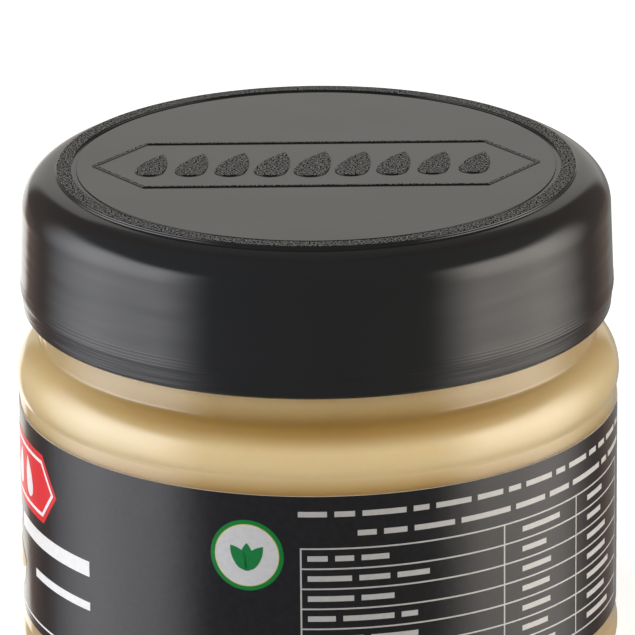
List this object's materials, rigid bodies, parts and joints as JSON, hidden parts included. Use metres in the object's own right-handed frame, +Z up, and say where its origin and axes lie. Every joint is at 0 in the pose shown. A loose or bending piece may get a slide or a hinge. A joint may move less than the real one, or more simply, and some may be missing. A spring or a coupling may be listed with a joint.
{
  "type": "tahini jar",
  "caption": "Squat clear jar filled with tahini, with a black screw lid carrying a raised ring and seed emblem, and a black wrap-around label.",
  "frame": {"origin": "centre of the jar's standing ring, on the surface it stands on", "axes": "+Z up along the jar's axis; -Y is the side that the lid's emblem reads from; the label's overlap is at +Y"},
  "size_m": [0.0754, 0.0754, 0.065],
  "materials": {
    "clear_pet": "clear blow-moulded PET, glossy",
    "tahini": "smooth sesame paste against the clear wall",
    "label_film": "satin printed film",
    "lid_plastic": "glossy black polypropylene, grained on the raised ring and emblem"
  },
  "bodies": {
    "root": {"jar": "clear_pet", "tahini": "tahini", "label": "label_film", "lid": "lid_plastic"}
  },
  "joints": []
}
